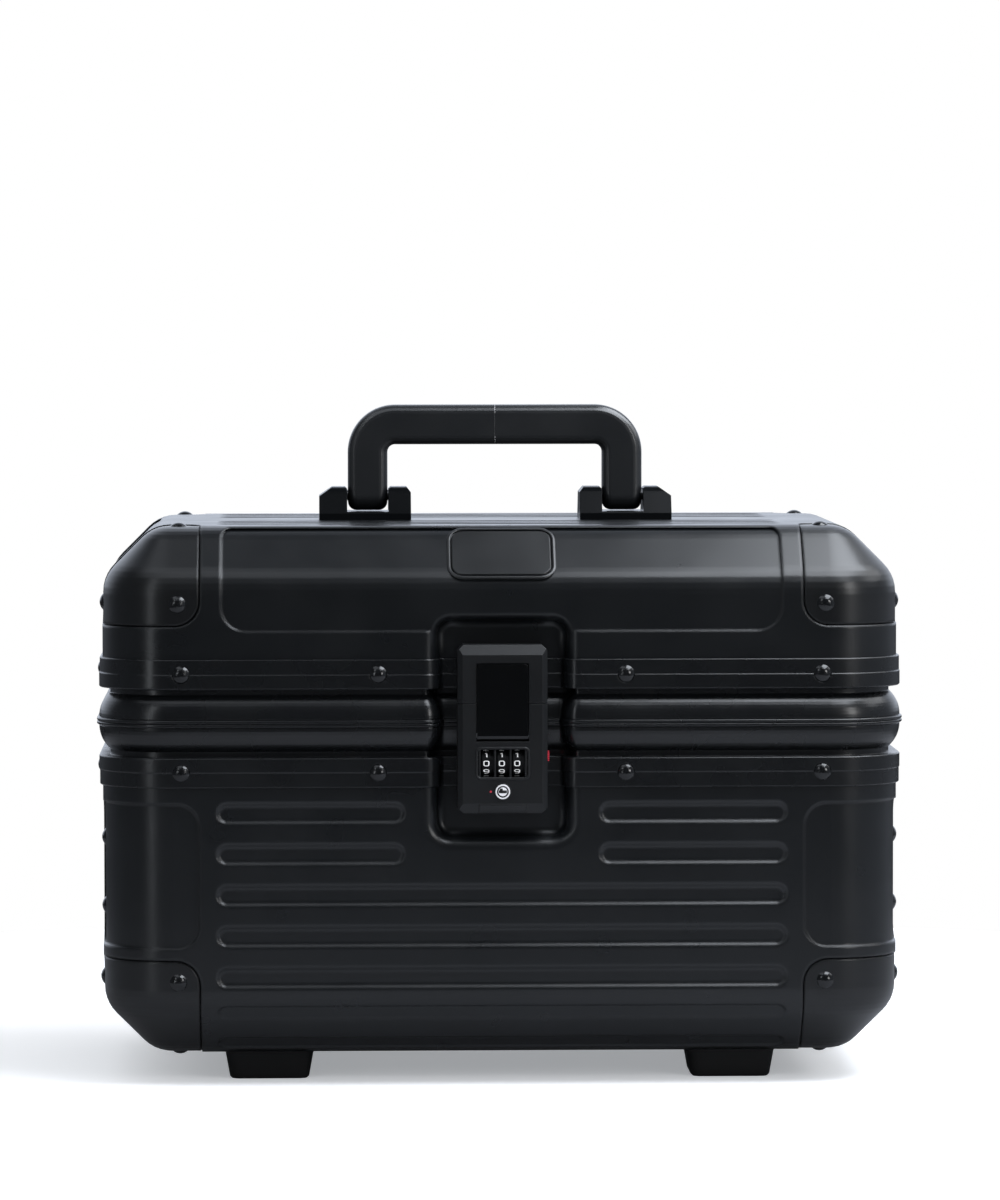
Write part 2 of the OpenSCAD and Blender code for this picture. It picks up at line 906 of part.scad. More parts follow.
module hinge_body_rivets() {
    color(black)
        translate([0, 0, part_z])
            mirror([0, 0, 1])
                leaf_rivets();
}

// ---------- lock ----------

lock_front = -half_d - lock_proud;
pocket_floor = pocket_depth - half_d;
lock_back = pocket_floor - lip_out - play;
seam_z = part_z + seam_up;
housing_z = seam_z - housing_h;
catch_z = seam_z + play;
catch_top = seam_z + catch_h;
lock_bevel = 2.3;
end_bevel = 4.6;
lock_corner = 2.6;
lock_rivet_x = 13;
lock_head_d = 6;
// distance of the lock rivets from the parting plane, clear of the frame
lock_rivet_off = trim_far + lock_head_d / 2 + 0.4;
lever_z = part_z - 5;
lever_out = 0.4;
lever_t = 2.8;
lever_barrel = 2.4;
lever_pivot_y = lock_front - lever_out + lever_barrel;
lever_top = lever_z - lever_barrel + lever_h;
lever_pin_d = 2;
dial_z = part_z - 17.5;
dial_y = lock_front + dial_r - 0.1;
dial_w = dial_pitch - 1.1;
axle_d = 3;
window_w = 3 * dial_pitch + 1.7;
window_h = 13;
key_z = part_z - 30.2;
key_depth = 9;
button_z = part_z - 14.5;
button_y = lock_front + 5.5;
button_h = 4.5;
button_d = 4;
button_l = 5;
button_out = 0.8;

// block with bevelled front edges, between heights z0 and z1; the bevel at an end may be 0
module lock_block(z0, z1, bevel_low, bevel_high) {
    hx = lock_w / 2;
    cut_low = bevel_low > 0 ? lock_corner : 0;
    cut_high = bevel_high > 0 ? lock_corner : 0;
    intersection() {
        rotate([90, 0, 0])
            linear_extrude(2 * case_d, center = true)
                polygon([[cut_low - hx, z0], [hx - cut_low, z0], [hx, z0 + cut_low],
                    [hx, z1 - cut_high], [hx - cut_high, z1], [cut_high - hx, z1],
                    [-hx, z1 - cut_high], [-hx, z0 + cut_low]]);
        translate([0, 0, z0])
            linear_extrude(z1 - z0)
                polygon([[-hx, lock_back], [hx, lock_back], [hx, lock_front + lock_bevel],
                    [hx - lock_bevel, lock_front], [lock_bevel - hx, lock_front],
                    [-hx, lock_front + lock_bevel]]);
        rotate([90, 0, 90])
            linear_extrude(lock_w + 2, center = true)
                polygon([[lock_back, z0], [lock_front + bevel_low * 0.6, z0],
                    [lock_front, z0 + bevel_low], [lock_front, z1 - bevel_high],
                    [lock_front + bevel_high * 0.6, z1], [lock_back, z1]]);
    }
}

// pads behind the lock that seat on the trim and on the pocket floor; way is +1 or -1
module lock_pads(way, end) {
    hx = lock_w / 2 - 3;
    mid = part_z + way * (trim_near + trim_h / 4);
    translate([-hx, lock_back - 0.5, mid - trim_h / 4 + 0.8])
        cube([2 * hx, pocket_floor - trim_proud - lock_back + 0.5, trim_h / 2 - 1.6]);
    low = part_z + way * (trim_far + play);
    translate([-hx, lock_back - 0.5, min(low, end)])
        cube([2 * hx, pocket_floor - lock_back + 0.5, abs(end - low)]);
}

module lock_rivet_places(z) {
    for (sx = side)
        translate([sx * lock_rivet_x, pocket_floor, z])
            rotate([90, 0, 0])
                children();
}

// room for the latch lever in the lock's front
module lever_room(low, high) {
    hx = lever_w / 2 + play;
    translate([-hx, lock_front - 1, low])
        cube([2 * hx, lever_t - lever_out + 1 + play, high - low]);
}

module lock_housing() {
    hx = lever_w / 2 + play;
    color(black)
        difference() {
            union() {
                lock_block(housing_z, seam_z, end_bevel, 0);
                lock_pads(-1, housing_z + 1);
            }
            lever_room(lever_z, seam_z + 1);
            // room for the lever barrel
            translate([-hx, lock_front - 1, lever_z - lever_barrel - play])
                cube([2 * hx, lever_pivot_y + lever_barrel + play - lock_front + 1,
                    2 * (lever_barrel + play)]);
            translate([0, lever_pivot_y, lever_z])
                rotate([0, 90, 0])
                    cylinder(d = lever_pin_d, h = lever_w + 8, center = true, $fn = 32);
            // window and room for the wheels
            translate([-window_w / 2, lock_front - 1, dial_z - window_h / 2])
                cube([window_w, lock_back - lock_front + 2, window_h]);
            translate([0, dial_y, dial_z])
                rotate([0, 90, 0])
                    cylinder(d = axle_d, h = window_w + 6, center = true, $fn = 32);
            // bore of the key cylinder
            translate([0, lock_front - 1, key_z])
                rotate([-90, 0, 0])
                    cylinder(r = key_d / 2 + fit, h = key_depth + 1.2, $fn = 48);
            // pocket of the release button
            translate([lock_w / 2 - button_l - button_out - play, button_y - button_d / 2 - slot_gap,
                    button_z - button_h / 2 - slot_gap])
                cube([button_l + 9, button_d + 2 * slot_gap, button_h + 2 * slot_gap]);
            lock_rivet_places(part_z - lock_rivet_off)
                cylinder(d = shank_d, h = 2 * 2, center = true, $fn = 32);
        }
}

module lock_catch() {
    color(black)
        difference() {
            union() {
                lock_block(catch_z, catch_top, 0, end_bevel);
                lock_pads(1, catch_top - 0.6);
            }
            lever_room(catch_z - 1, lever_top + play);
            lock_rivet_places(part_z + lock_rivet_off)
                cylinder(d = shank_d, h = 2 * 2, center = true, $fn = 32);
        }
}

// blind rivets behind the pocket: heads inside the case, shanks in the lock pads
module lock_rivets(z) {
    color(steel)
        for (sx = side)
            translate([sx * lock_rivet_x, pocket_floor + wall, z])
                rotate([-90, 0, 0])
                    rivet(wall + 1.8, lock_head_d);
}

module housing_rivets() {
    lock_rivets(part_z - lock_rivet_off);
}

module catch_rivets() {
    lock_rivets(part_z + lock_rivet_off);
}

module latch_lever() {
    color(soft_black)
        difference() {
            union() {
                intersection() {
                    translate([-lever_w / 2, lock_front - lever_out, lever_z])
                        cube([lever_w, lever_t, lever_top - lever_z]);
                    // rounded upper corners
                    translate([0, lock_front, 0])
                        rotate([90, 0, 0])
                            linear_extrude(20, center = true)
                                polygon(concat(
                                    [[-lever_w / 2, lever_z - 1], [lever_w / 2, lever_z - 1]],
                                    arc(lever_w / 2 - 2, lever_top - 2, 2, 0, 90),
                                    arc(2 - lever_w / 2, lever_top - 2, 2, 90, 180)));
                }
                translate([0, lever_pivot_y, lever_z])
                    rotate([0, 90, 0])
                        cylinder(r = lever_barrel, h = lever_w, center = true, $fn = 48);
            }
            translate([0, lever_pivot_y, lever_z])
                rotate([0, 90, 0])
                    cylinder(r = lever_pin_d / 2 + fit, h = lever_w + 2, center = true, $fn = 32);
        }
}

module lever_pin() {
    color(steel)
        translate([0, lever_pivot_y, lever_z])
            rotate([0, 90, 0])
                cylinder(d = lever_pin_d, h = lever_w + 8, center = true, $fn = 32);
}

// number wheel with a bevelled rim and ten finger notches
module dial(i) {
    notches = 10;
    color("dimgray")
        translate([i * dial_pitch, dial_y, dial_z])
            rotate([0, 90, 0])
                difference() {
                    rotate_extrude($fn = 60)
                        polygon([[axle_d / 2 + fit, -dial_w / 2], [dial_r - 0.6, -dial_w / 2],
                            [dial_r, 0.6 - dial_w / 2], [dial_r, dial_w / 2 - 1.4],
                            [dial_r - 0.5, dial_w / 2 - 1.2], [dial_r - 0.5, dial_w / 2],
                            [axle_d / 2 + fit, dial_w / 2]]);
                    for (k = [0:notches - 1])
                        rotate(360 * (k + 0.5) / notches)
                            translate([dial_r + 0.1, 0, dial_w / 2 - 1.4])
                                cylinder(r = 0.6, h = 2, $fn = 24);
                }
}

module dial_axle() {
    color(steel)
        translate([0, dial_y, dial_z])
            rotate([0, 90, 0])
                cylinder(d = axle_d, h = window_w + 6, center = true, $fn = 32);
}

module key_cylinder() {
    color("silver")
        translate([0, lock_front - 0.6, key_z])
            rotate([-90, 0, 0])
                difference() {
                    rotate_extrude($fn = 48)
                        polygon([[0, 0], [key_d / 2 - 0.5, 0], [key_d / 2, 0.5],
                            [key_d / 2, key_depth], [0, key_depth]]);
                    cube([1, key_d * 0.62, 6], center = true);
                }
}

module release_button() {
    color("firebrick")
        translate([lock_w / 2 + button_out - button_l, button_y - button_d / 2,
                button_z - button_h / 2])
            cube([button_l, button_d, button_h]);
}

// ---------- handle ----------

pivot_up = 11.2;
bracket_floor = 3.8;
bracket_shift = 1.3;
pivot_z = top_z + pivot_up;
leg_x = handle_w / 2 - grip_w / 2;
grip_r = grip_bend + grip_w / 2;
section_r = 4;
lug_play = 0.4;
dowel_d = 6;
dowel_l = 50;

// rounded rectangle outline, w by h about the origin
function rounded(w, h, r) = concat(
    arc(w / 2 - r, h / 2 - r, r, 0, 90, 5), arc(r - w / 2, h / 2 - r, r, 90, 180, 5),
    arc(r - w / 2, r - h / 2, r, 180, 270, 5), arc(w / 2 - r, r - h / 2, r, 270, 360, 5));

module handle_half(sx) {
    bend_z = handle_rise - grip_w / 2 - grip_r;
    bend_x = leg_x - grip_r;
    color(soft_black)
        translate([0, 0, pivot_z])
            mirror([sx < 0 ? 1 : 0, 0, 0])
                difference() {
                    union() {
                        // grip, bend, leg and the round end on the pivot
                        translate([0, 0, handle_rise - grip_w / 2])
                            rotate([90, 0, 90])
                                linear_extrude(bend_x)
                                    polygon(rounded(grip_d, grip_w, section_r));
                        translate([bend_x, 0, bend_z])
                            rotate([90, 0, 0])
                                rotate_extrude(angle = 90, $fn = fine)
                                    translate([grip_r, 0])
                                        polygon(rounded(grip_w, grip_d, section_r));
                        translate([leg_x, 0, 0])
                            linear_extrude(bend_z)
                                polygon(rounded(grip_w, grip_d, section_r));
                        translate([leg_x, 0, 0])
                            rotate([0, 90, 0])
                                rotate_extrude($fn = fine)
                                    polygon(concat([[0, -grip_w / 2]],
                                        arc(grip_d / 2 - section_r, section_r - grip_w / 2,
                                            section_r, -90, 0, 5),
                                        arc(grip_d / 2 - section_r, grip_w / 2 - section_r,
                                            section_r, 0, 90, 5), [[0, grip_w / 2]]));
                    }
                    translate([leg_x, 0, 0])
                        rotate([0, 90, 0])
                            cylinder(r = handle_pin_d / 2 + fit, h = grip_w + 2, center = true,
                                $fn = 48);
                    translate([0, 0, handle_rise - grip_w / 2])
                        rotate([0, 90, 0])
                            cylinder(d = dowel_d, h = dowel_l + 0.2, center = true, $fn = 48);
                }
}

module handle_left() {
    handle_half(-1);
}

module handle_right() {
    handle_half(1);
}

module handle_dowel() {
    color(steel)
        translate([0, 0, pivot_z + handle_rise - grip_w / 2])
            rotate([0, 90, 0])
                cylinder(d = dowel_d, h = dowel_l, center = true, $fn = 48);
}

// bracket with two lugs and a floor between them; the outer lug is wider and slopes more
module bracket(sx) {
    inner = bracket_shift - bracket_w / 2;
    outer = bracket_shift + bracket_w / 2;
    gap = grip_w / 2 + lug_play;
    color(black)
        translate([sx * leg_x, 0, top_z])
            mirror([sx < 0 ? 1 : 0, 0, 0])
                difference() {
                    intersection() {
                        rotate([90, 0, 0])
                            linear_extrude(bracket_d, center = true)
                                polygon([[inner, 0], [outer, 0], [outer, bracket_h - 4.2],
                                    [outer - 6, bracket_h], [gap + 1, bracket_h],
                                    [gap, bracket_h - 1], [gap, bracket_floor],
                                    [-gap, bracket_floor], [-gap, bracket_h - 1],
                                    [-gap - 1, bracket_h], [inner + 2, bracket_h],
                                    [inner, bracket_h - 2.6]]);
                        rotate([90, 0, 90])
                            linear_extrude(2 * bracket_w, center = true)
                                polygon(concat([[-bracket_d / 2, 0], [bracket_d / 2, 0],
                                    [bracket_d / 2, 3]],
                                    arc(bracket_d / 2 - 9.5, bracket_h - 5, 5, 20, 90, 5),
                                    arc(9.5 - bracket_d / 2, bracket_h - 5, 5, 90, 160, 5),
                                    [[-bracket_d / 2, 3]]));
                    }
                    translate([0, 0, pivot_up])
                        rotate([0, 90, 0])
                            cylinder(d = handle_pin_d, h = handle_pin_l, center = true, $fn = 48);
                    for (s = side)
                        translate([bracket_shift + s * bracket_screw_x, 0, -1])
                            cylinder(d = screw_d, h = bracket_screw_grip + 1, $fn = 32);
                }
}

handle_pin_l = grip_w + 12;
bracket_screw_x = bracket_w / 2 - 5;
bracket_screw_grip = 3.5;
bracket_screw_places =
    [for (sx = side) for (s = side) [sx * (leg_x + bracket_shift) + s * bracket_screw_x, 0]];

module handle_pins() {
    color(steel)
        for (sx = side)
            translate([sx * leg_x, 0, pivot_z])
                rotate([0, 90, 0])
                    cylinder(d = handle_pin_d, h = handle_pin_l, center = true, $fn = 48);
}

module bracket_screws() {
    color(steel)
        for (p = bracket_screw_places)
            translate([p[0], p[1], top_z - wall])
                screw(wall + bracket_screw_grip);
}

// ---------- nameplate, left bare ----------

plate_w = 45;
plate_h = 27;
plate_t = 1.2;
plate_r = 5.5;
plate_gap = 0.4;
plate_sunk = 0.7;

// places a shape on the middle of the sloped face of the front panel, with +Z into the lid
module at_plate() {
    mid = (edge_leg - mitre * panel_deep) / 2 + panel_deep;
    translate([0, mid - half_d, mid])
        rotate([-45, 0, 0])
            children();
}

module nameplate() {
    color(soft_black)
        as_lid()
            at_plate()
                translate([0, 0, plate_sunk - plate_t])
                    soft_block(plate_w / 2, plate_h / 2, plate_r,
                        [[0.5, 0], [0, 0.5], [0, plate_t]]);
}

body_shell();
lid_shell();
body_frame();
lid_frame();
closing_seal();
lid_cap(-1, -1);  // lid_cap_front_left
lid_cap(1, -1);  // lid_cap_front_right
lid_cap(-1, 1);  // lid_cap_rear_left
lid_cap(1, 1);  // lid_cap_rear_right
body_cap(-1, -1);  // body_cap_front_left
body_cap(1, -1);  // body_cap_front_right
body_cap(-1, 1);  // body_cap_rear_left
body_cap(1, 1);  // body_cap_rear_right
lid_cap_rivets();
body_cap_rivets();
lid_frame_rivets();
body_frame_rivets();
foot(0);  // foot_front_left
foot(1);  // foot_front_right
foot(2);  // foot_rear_left
foot(3);  // foot_rear_right
foot_screws();
body_lining();
lid_lining();
lid_mirror();
mirror_frame();
hinge_body_leaf(0);  // hinge_body_leaf_left
hinge_body_leaf(1);  // hinge_body_leaf_right
hinge_lid_leaf(0);  // hinge_lid_leaf_left
hinge_lid_leaf(1);  // hinge_lid_leaf_right
hinge_pins();
hinge_body_rivets();
hinge_lid_rivets();
lock_housing();
lock_catch();
latch_lever();
lever_pin();
dial(-1);  // dial_left
dial(0);  // dial_middle
dial(1);  // dial_right
dial_axle();
key_cylinder();
release_button();
housing_rivets();
catch_rivets();
handle_left();
handle_right();
handle_dowel();
bracket(-1);  // bracket_left
bracket(1);  // bracket_right
handle_pins();
bracket_screws();
nameplate();
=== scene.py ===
"""Studio picture of a black hard makeup train case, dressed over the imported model.

Metres, X across the front, Y towards the back, Z up, the feet on Z = 0.
"""
import json
import math
import bmesh
import bpy
from mathutils import Matrix, Vector


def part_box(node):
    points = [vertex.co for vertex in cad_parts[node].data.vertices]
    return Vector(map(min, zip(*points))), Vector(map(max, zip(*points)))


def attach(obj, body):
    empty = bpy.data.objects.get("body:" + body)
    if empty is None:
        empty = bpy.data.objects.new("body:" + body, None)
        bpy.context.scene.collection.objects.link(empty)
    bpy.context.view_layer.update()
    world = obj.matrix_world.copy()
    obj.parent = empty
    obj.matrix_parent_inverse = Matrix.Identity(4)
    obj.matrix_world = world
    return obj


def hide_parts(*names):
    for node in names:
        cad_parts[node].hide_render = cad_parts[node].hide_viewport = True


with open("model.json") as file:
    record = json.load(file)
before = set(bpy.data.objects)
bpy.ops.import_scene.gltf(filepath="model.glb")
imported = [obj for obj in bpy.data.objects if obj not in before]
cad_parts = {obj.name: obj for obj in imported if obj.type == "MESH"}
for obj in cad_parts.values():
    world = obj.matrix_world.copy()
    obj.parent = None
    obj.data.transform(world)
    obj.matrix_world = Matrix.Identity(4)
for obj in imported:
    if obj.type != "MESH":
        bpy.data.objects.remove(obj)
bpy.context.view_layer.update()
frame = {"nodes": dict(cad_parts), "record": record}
NODES = frame["nodes"]
SLOT_OF = {part["node"]: part.get("material_slot") for part in frame["record"].get("subparts", [])}
SCENE = bpy.context.scene
MM = 0.001
ACROSS = Vector((1, 0, 0))
UPWARD = Vector((0, 0, 1))
WHEELS = ("dial_left", "dial_middle", "dial_right")
BRACKETS = ("bracket_left", "bracket_right")


# ---------------------------------------------------------------- camera
def aim_camera(place, yaw, pitch, roll, lens):
    """The photograph's camera: place in metres, angles in radians, lens in mm on a 36 mm side."""
    forward = Vector((math.sin(yaw) * math.cos(pitch), math.cos(yaw) * math.cos(pitch), math.sin(pitch)))
    level = Vector((math.cos(yaw), -math.sin(yaw), 0))
    upright = level.cross(forward)
    right = level * math.cos(roll) + upright * math.sin(roll)
    above = upright * math.cos(roll) - level * math.sin(roll)
    camera = bpy.data.objects.new("camera", bpy.data.cameras.new("camera"))
    camera.matrix_world = Matrix((
        (right.x, above.x, -forward.x, place[0]),
        (right.y, above.y, -forward.y, place[1]),
        (right.z, above.z, -forward.z, place[2]),
        (0, 0, 0, 1)))
    camera.data.lens = lens
    camera.data.sensor_width = 36
    SCENE.collection.objects.link(camera)
    SCENE.camera = camera


aim_camera((-0.0864, -2.9074, 0.3532), 0.03055, -0.04779, -0.00121, 187.5)


# ---------------------------------------------------------------- node helpers
def new_material(name):
    material = bpy.data.materials.new(name)
    material.use_nodes = True
    tree = material.node_tree
    return material, tree, tree.nodes["Principled BSDF"]


def add(tree, kind, inputs=None, **properties):
    """A node of that kind with its properties and its inputs' values set."""
    node = tree.nodes.new(kind)
    for key, value in properties.items():
        setattr(node, key, value)
    for key, value in (inputs or {}).items():
        node.inputs[key].default_value = value
    return node


def noise(tree, scale, stretch=(1, 1, 1)):
    """A noise value in the part's own metres, scale in waves per metre."""
    place = add(tree, "ShaderNodeTexCoord")
    mapping = add(tree, "ShaderNodeMapping", {"Scale": stretch})
    cloud = add(tree, "ShaderNodeTexNoise", {"Scale": scale, "Detail": 2.0})
    tree.links.new(place.outputs["Object"], mapping.inputs["Vector"])
    tree.links.new(mapping.outputs["Vector"], cloud.inputs["Vector"])
    return cloud.outputs["Fac"]


def ranged(tree, value, start, end, low, high, **properties):
    """Maps a value's range from start to end onto low to high, and holds it there."""
    node = add(tree, "ShaderNodeMapRange",
               {"From Min": start, "From Max": end, "To Min": low, "To Max": high}, **properties)
    tree.links.new(value, node.inputs["Value"])
    return node.outputs["Result"]


def spread(tree, value, low, high):
    """Maps the middle part of a noise value, where most of it lies, onto low to high."""
    return ranged(tree, value, 0.3, 0.7, low, high)


def combined(tree, a, b, how="MAXIMUM"):
    """Two values in one, by a maths node."""
    node = add(tree, "ShaderNodeMath", operation=how)
    tree.links.new(a, node.inputs[0])
    tree.links.new(b, node.inputs[1])
    return node.outputs["Value"]


def scaled(tree, value, factor):
    """A value times a factor."""
    node = add(tree, "ShaderNodeMath", operation="MULTIPLY")
    tree.links.new(value, node.inputs[0])
    node.inputs[1].default_value = factor
    return node.outputs["Value"]


def choose(tree, value, other, chosen):
    """The chosen shader where value is 1, and the other where it is 0."""
    mix = add(tree, "ShaderNodeMixShader")
    tree.links.new(value, mix.inputs["Fac"])
    tree.links.new(other, mix.inputs[1])
    tree.links.new(chosen, mix.inputs[2])
    return mix.outputs["Shader"]


# ---------------------------------------------------------------- finishes
FINISHES = {}


def finish(name, dark, light, rough, metal=0.0, grain=3000, height=2e-6, edge=0.0, patches=14,
           stretch=(1, 1, 1), specular=0.5):
    """Adds a finish whose colour and gloss drift in soft patches.

    grain and patches are in waves per metre, height is the grain's height and edge the radius to which
    edges are softened, both in metres.
    """
    material, tree, shader = new_material(name)
    shader.inputs["Metallic"].default_value = metal
    shader.inputs["Specular IOR Level"].default_value = specular
    colour = add(tree, "ShaderNodeMix", data_type="RGBA")
    colour.inputs["A"].default_value = (*dark, 1)
    colour.inputs["B"].default_value = (*light, 1)
    tree.links.new(spread(tree, noise(tree, patches), 0, 1), colour.inputs["Factor"])
    tree.links.new(colour.outputs["Result"], shader.inputs["Base Color"])
    tree.links.new(spread(tree, noise(tree, patches * 3), *rough), shader.inputs["Roughness"])
    bump = add(tree, "ShaderNodeBump", {"Strength": 1.0, "Distance": height})
    tree.links.new(noise(tree, grain, stretch), bump.inputs["Height"])
    if edge:
        soft = add(tree, "ShaderNodeBevel", {"Radius": edge}, samples=6)
        tree.links.new(soft.outputs["Normal"], bump.inputs["Normal"])
    tree.links.new(bump.outputs["Normal"], shader.inputs["Normal"])
    FINISHES[name] = material


finish("shell_black", (0.0026, 0.0032, 0.0039), (0.0036, 0.0043, 0.0052), (0.27, 0.33),
       grain=2600, height=4e-6, edge=0.0019)
finish("frame_black", (0.0026, 0.0031, 0.0037), (0.0036, 0.0041, 0.0048), (0.24, 0.31),
       grain=1800, height=3e-6, edge=0.0006, stretch=(0.08, 0.08, 3))
finish("black_metal", (0.0026, 0.0030, 0.0035), (0.0036, 0.0040, 0.0045), (0.30, 0.36),
       grain=2500, height=2e-6, edge=0.0016)
finish("rivet_black", (0.0026, 0.0029, 0.0033), (0.0038, 0.0041, 0.0046), (0.14, 0.20),
       patches=60)
finish("rubber_black", (0.0040, 0.0040, 0.0042), (0.0056, 0.0056, 0.0058), (0.60, 0.75),
       grain=2000, height=1.5e-5, edge=0.0008, specular=0.25)
finish("steel", (0.35, 0.35, 0.36), (0.45, 0.45, 0.46), (0.25, 0.35), metal=1.0, grain=2000)
finish("lining_cloth", (0.020, 0.020, 0.023), (0.032, 0.032, 0.036), (0.85, 0.95),
       grain=1500, height=8e-5)
finish("mirror_glass", (0.80, 0.82, 0.83), (0.84, 0.86, 0.87), (0.01, 0.02),
       metal=1.0, grain=40, height=1e-6)
finish("plastic_black", (0.0046, 0.0048, 0.0052), (0.0062, 0.0064, 0.0068), (0.40, 0.50),
       grain=2500, height=6e-6, edge=0.0004)
finish("plate_black", (0.0034, 0.0039, 0.0044), (0.0046, 0.0051, 0.0057), (0.30, 0.36),
       grain=2600, edge=0.0003)
finish("handle_black", (0.0066, 0.0074, 0.0086), (0.0084, 0.0094, 0.0108), (0.28, 0.34),
       grain=2600, height=6e-6, edge=0.0006, specular=0.80)
finish("lock_black", (0.0036, 0.0041, 0.0048), (0.0050, 0.0055, 0.0063), (0.36, 0.43),
       height=3e-6, edge=0.0004, specular=0.40)
finish("lever_gloss", (0.0012, 0.0013, 0.0014), (0.0018, 0.0019, 0.0021), (0.04, 0.07),
       grain=200, height=1e-6, edge=0.0002)
finish("chrome", (0.82, 0.82, 0.84), (0.90, 0.90, 0.92), (0.20, 0.28), metal=0.4, grain=1500)
finish("wheel_black", (0.0016, 0.0017, 0.0019), (0.0024, 0.0025, 0.0028), (0.50, 0.60),
       grain=2500, height=4e-6, specular=0.12)
finish("bracket_black", (0.0026, 0.0030, 0.0035), (0.0036, 0.0040, 0.0045), (0.20, 0.26),
       grain=2500, height=6e-7, edge=0.0003, specular=0.05)
finish("digit_white", (0.62, 0.62, 0.62), (0.74, 0.74, 0.74), (0.35, 0.45), height=1e-6)
# painted shade: a near-black finish for thin sheets that stand in for the shade in the keyway, the key's
# groove and the gap round the lock tab
finish("painted_shade_black", (0.002, 0.002, 0.002), (0.003, 0.003, 0.003), (0.50, 0.60), height=1e-6)
finish("seam_light", (0.30, 0.30, 0.31), (0.42, 0.42, 0.43), (0.30, 0.40), height=1e-6)
finish("plastic_red", (0.30, 0.008, 0.020), (0.42, 0.012, 0.030), (0.30, 0.40),
       grain=2500, height=5e-6)

for name, node in NODES.items():
    look = SLOT_OF.get(name) or "shell_black"
    if name in WHEELS:
        look = "wheel_black"
    if name in BRACKETS:
        look = "bracket_black"
    node.data.materials.clear()
    node.data.materials.append(FINISHES[look])


# ---------------------------------------------------------------- geometry helpers
def as_piece(name, shape, body, look):
    """Makes an object of a bmesh, in a finish, that rides on a body or node."""
    mesh = bpy.data.meshes.new(name)
    bmesh.ops.recalc_face_normals(shape, faces=shape.faces)
    shape.to_mesh(mesh)
    shape.free()
    mesh.materials.append(FINISHES[look])
    mesh.shade_smooth()
    piece = bpy.data.objects.new(name, mesh)
    SCENE.collection.objects.link(piece)
    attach(piece, body)
    return piece


def largest_face(node, faces_out):
    """The node's largest face whose normal passes the test faces_out."""
    faces = NODES[node].data.polygons
    return max((face for face in faces if faces_out(face.normal)), key=lambda face: face.area)


def rounded(width, height, radius, steps=6):
    """Corner-rounded rectangle as (u, v) points about the origin."""
    points = []
    for quarter, (su, sv) in enumerate(((1, 1), (-1, 1), (-1, -1), (1, -1))):
        for i in range(steps + 1):
            angle = math.pi / 2 * (quarter + i / steps)
            points.append((su * (width / 2 - radius) + radius * math.cos(angle),
                           sv * (height / 2 - radius) + radius * math.sin(angle)))
    return points


def inset_outline(size, radius, inset):
    """A corner-rounded rectangle's outline, moved inwards by inset."""
    return rounded(size[0] - 2 * inset, size[1] - 2 * inset, max(radius - inset, 1e-5))


def skin(shape, rings):
    """Joins rings of equally many points into a skin that is open at both ends."""
    rows = [[shape.verts.new(point) for point in ring] for ring in rings]
    count = len(rows[0])
    for a, b in zip(rows, rows[1:]):
        for i in range(count):
            j = (i + 1) % count
            shape.faces.new((a[i], a[j], b[j], b[i]))
    return rows


def block(shape, rings):
    """Joins rings into a skin that is capped at both ends."""
    rows = skin(shape, rings)
    shape.faces.new(rows[0])
    shape.faces.new(rows[-1])


def hoop(shape, rings):
    """Joins rings into a skin that closes on its first ring, like a picture frame."""
    skin(shape, rings + rings[:1])
    bmesh.ops.remove_doubles(shape, verts=shape.verts, dist=1e-7)


def plane_slab(shape, centre, side, rise, size, radius, deep, high, edge):
    """Slab with a softened rim on the plane of side and rise, from deep under it to high over it."""
    out = side.cross(rise)
    rings = []
    for inset, level in ((0, -deep), (0, high - edge), (edge * 0.3, high - edge * 0.3), (edge, high)):
        outline = inset_outline(size, radius, inset)
        rings.append([centre + side * u + rise * v + out * level for u, v in outline])
    block(shape, rings)


def front_slab(shape, centre, size, radius, back, front, edge):
    """Slab that faces the front (-Y), from y = back to y = front; centre is (x, z)."""
    plane_slab(shape, Vector((centre[0], front, centre[1])), ACROSS, UPWARD, size, radius,
               back - front, 0, edge)


def front_rim(shape, centre, size, radius, width, back, front):
    """Raised rounded rim that faces the front, width wide inside its outline; centre is (x, z)."""
    shoulder = (back + 2 * front) / 3
    rings = []
    for inset, y in ((0, back), (0, shoulder), (width * 0.3, front), (width * 0.7, front),
                     (width, shoulder), (width, back)):
        outline = inset_outline(size, radius, inset)
        rings.append([(centre[0] + u, y, centre[1] + v) for u, v in outline])
    hoop(shape, rings)


